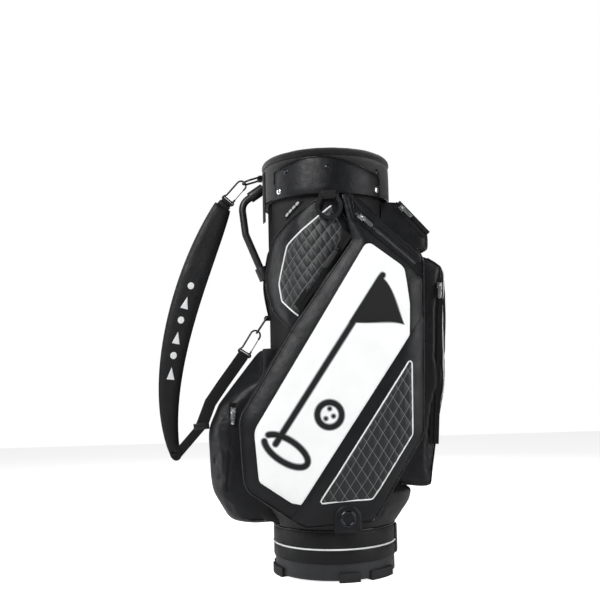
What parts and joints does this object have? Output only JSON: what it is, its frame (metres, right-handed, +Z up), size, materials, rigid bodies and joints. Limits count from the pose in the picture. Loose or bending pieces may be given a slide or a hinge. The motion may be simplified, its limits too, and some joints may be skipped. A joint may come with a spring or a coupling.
{
  "type": "golf staff bag",
  "caption": "Tall round golf bag with a padded top cuff, side and front pockets, a bent carry handle, a shoulder strap and a towel ring.",
  "frame": {"origin": "centre of the base, on the ground under the feet", "axes": "+Z up along the trunk, +X towards the ball pocket, -X towards the strap and handle, -Y towards the right side pocket"},
  "size_m": [0.6148, 0.336, 0.87],
  "materials": {
    "moulded_charcoal": "moulded ABS, fine grain",
    "foot_rubber": "moulded rubber",
    "black_leather": "smooth coated leather",
    "white_piping": "extruded vinyl piping",
    "trunk_fabric": "coated nylon on sheet",
    "stay_rod": "drawn tube",
    "velour": "brushed velour over foam",
    "divider_fabric": "fleece",
    "zip_silver": "moulded coil zip, silver grey",
    "zip_black": "moulded coil zip, black",
    "webbing": "woven polyester webbing",
    "black_metal": "black plated steel wire",
    "chrome": "polished plating",
    "tag_metal": "woven silver tag",
    "handle_tube": "powder coated tube",
    "ring_plastic": "moulded nylon",
    "puller_rubber": "soft moulded puller",
    "puller_metal": "die-cast zinc"
  },
  "bodies": {
    "bag": {"base_cup": "moulded_charcoal", "base_feet": "foot_rubber", "base_collar": "black_leather", "collar_piping": "white_piping", "lower_skirt": "black_leather", "trunk_shell": "trunk_fabric", "trunk_stays": "stay_rod", "top_ring": "moulded_charcoal", "cuff_band": "black_leather", "rim_pad": "velour", "divider_bars": "velour", "divider_sheets": "divider_fabric", "right_pocket": "black_leather", "left_pocket": "black_leather", "right_leaf_pocket": "black_leather", "left_leaf_pocket": "black_leather", "ball_pocket": "black_leather", "front_pocket": "black_leather", "spine_pocket": "black_leather", "side_zip_tracks": "zip_silver", "leaf_zip_tracks": "zip_black", "ball_zip_track": "zip_black", "front_zip_track": "zip_black", "spine_zip_track": "zip_black", "ring_keeper": "webbing", "eyelet_tab": "black_leather", "eyelet_grommet": "black_metal", "label_tag": "tag_metal", "glove_tab": "webbing", "handle_tube": "handle_tube", "handle_brackets": "moulded_charcoal", "dring_keepers": "webbing", "cuff_rivets": "chrome", "snap_studs": "black_metal"},
    "right_zip_slider": {"right_zip_slider": "puller_metal"},
    "right_zip_puller": {"right_zip_puller": "puller_metal"},
    "left_zip_slider": {"left_zip_slider": "puller_metal"},
    "left_zip_puller": {"left_zip_puller": "puller_metal"},
    "right_leaf_slider": {"right_leaf_slider": "puller_metal"},
    "right_leaf_puller": {"right_leaf_puller": "puller_rubber"},
    "left_leaf_slider": {"left_leaf_slider": "puller_metal"},
    "left_leaf_puller": {"left_leaf_puller": "puller_rubber"},
    "ball_zip_slider": {"ball_zip_slider": "puller_metal"},
    "ball_zip_puller": {"ball_zip_puller": "puller_metal"},
    "front_zip_slider": {"front_zip_slider": "puller_metal"},
    "front_zip_puller": {"front_zip_puller": "puller_metal"},
    "spine_zip_slider": {"spine_zip_slider": "puller_metal"},
    "spine_zip_puller": {"spine_zip_puller": "puller_metal"},
    "towel_ring": {"towel_ring": "ring_plastic"},
    "upper_dring": {"upper_dring": "black_metal"},
    "lower_dring": {"lower_dring": "black_metal"},
    "strap": {"strap_pad": "black_leather", "strap_ends": "black_leather", "upper_webbing": "webbing", "lower_webbing": "webbing", "strap_adjuster": "moulded_charcoal", "upper_hook": "black_metal", "lower_hook": "black_metal"},
    "upper_hook_gate": {"upper_hook_gate": "black_metal"},
    "lower_hook_gate": {"lower_hook_gate": "black_metal"}
  },
  "joints": [
    {"name": "right_zip_slide", "type": "slide", "parent": "bag", "child": "right_zip_slider", "axis": [0.7522, 0, -0.659], "range_m": [-0.002, 0.1342]},
    {"name": "right_zip_pull", "type": "hinge", "parent": "right_zip_slider", "child": "right_zip_puller", "pos_m": [0.05002, -0.1586, 0.71873], "axis": [-0.659, 0, -0.7522], "range_deg": [0, 150]},
    {"name": "left_zip_slide", "type": "slide", "parent": "bag", "child": "left_zip_slider", "axis": [0.7522, 0, -0.659], "range_m": [-0.002, 0.1342]},
    {"name": "left_zip_pull", "type": "hinge", "parent": "left_zip_slider", "child": "left_zip_puller", "pos_m": [0.05002, 0.1586, 0.71873], "axis": [0.659, 0, 0.7522], "range_deg": [0, 150]},
    {"name": "right_leaf_slide", "type": "slide", "parent": "bag", "child": "right_leaf_slider", "axis": [-0.5751, 0.1014, -0.8118], "range_m": [-0.028, 0.1292]},
    {"name": "right_leaf_pull", "type": "hinge", "parent": "right_leaf_slider", "child": "right_leaf_puller", "pos_m": [-0.00075, -0.15482, 0.6544], "axis": [-0.7994, 0.141, 0.584], "range_deg": [0, 150]},
    {"name": "left_leaf_slide", "type": "slide", "parent": "bag", "child": "left_leaf_slider", "axis": [-0.5751, -0.1014, -0.8118], "range_m": [-0.028, 0.1292]},
    {"name": "left_leaf_pull", "type": "hinge", "parent": "left_leaf_slider", "child": "left_leaf_puller", "pos_m": [-0.00075, 0.15482, 0.6544], "axis": [0.7994, 0.141, -0.584], "range_deg": [0, 150]},
    {"name": "ball_zip_slide", "type": "slide", "parent": "bag", "child": "ball_zip_slider", "axis": [-0.0712, 0, -0.9975], "range_m": [-0.004, 0.3189]},
    {"name": "ball_zip_pull", "type": "hinge", "parent": "ball_zip_slider", "child": "ball_zip_puller", "pos_m": [0.22629, -0.0856, 0.58803], "axis": [-0.9975, 0, 0.0712], "range_deg": [0, 150]},
    {"name": "front_zip_slide", "type": "slide", "parent": "bag", "child": "front_zip_slider", "axis": [0.6781, 0, -0.735], "range_m": [-0.002, 0.0666]},
    {"name": "front_zip_pull", "type": "hinge", "parent": "front_zip_slider", "child": "front_zip_puller", "pos_m": [0.15143, -0.0856, 0.75482], "axis": [-0.735, 0, -0.6781], "range_deg": [0, 150]},
    {"name": "spine_zip_slide", "type": "slide", "parent": "bag", "child": "spine_zip_slider", "axis": [-0.0594, 0, -0.9982], "range_m": [-0.004, 0.1503]},
    {"name": "spine_zip_pull", "type": "hinge", "parent": "spine_zip_slider", "child": "spine_zip_puller", "pos_m": [-0.21059, -0.0686, 0.33602], "axis": [-0.9982, 0, 0.0594], "range_deg": [0, 150]},
    {"name": "towel_ring_swing", "type": "hinge", "parent": "bag", "child": "towel_ring", "pos_m": [-0.015, -0.151, 0.766], "axis": [-1, 0, 0], "range_deg": [-3, 110]},
    {"name": "strap_swing", "type": "hinge", "parent": "bag", "child": "strap", "pos_m": [-0.15725, 0, 0.4985], "axis": [-0.0762, 0, 0.9971], "range_deg": [-20, 20]},
    {"name": "upper_dring_swing", "type": "hinge", "parent": "bag", "child": "upper_dring", "pos_m": [-0.146, 0, 0.838], "axis": [0, -1, 0], "range_deg": [0, 7], "stiffness_Nm_per_rad": 0.5},
    {"name": "lower_dring_swing", "type": "hinge", "parent": "bag", "child": "lower_dring", "pos_m": [-0.136, 0, 0.53], "axis": [0, -1, 0], "range_deg": [0, 1.5], "stiffness_Nm_per_rad": 0.5},
    {"name": "upper_gate_swing", "type": "hinge", "parent": "strap", "child": "upper_hook_gate", "pos_m": [-0.2019, 0, 0.78838], "axis": [0, -1, 0], "range_deg": [0, 20], "stiffness_Nm_per_rad": 0.02, "springref_deg": -11.46},
    {"name": "lower_gate_swing", "type": "hinge", "parent": "strap", "child": "lower_hook_gate", "pos_m": [-0.17055, 0, 0.4574], "axis": [0, -1, 0], "range_deg": [0, 20], "stiffness_Nm_per_rad": 0.02, "springref_deg": -11.46}
  ]
}
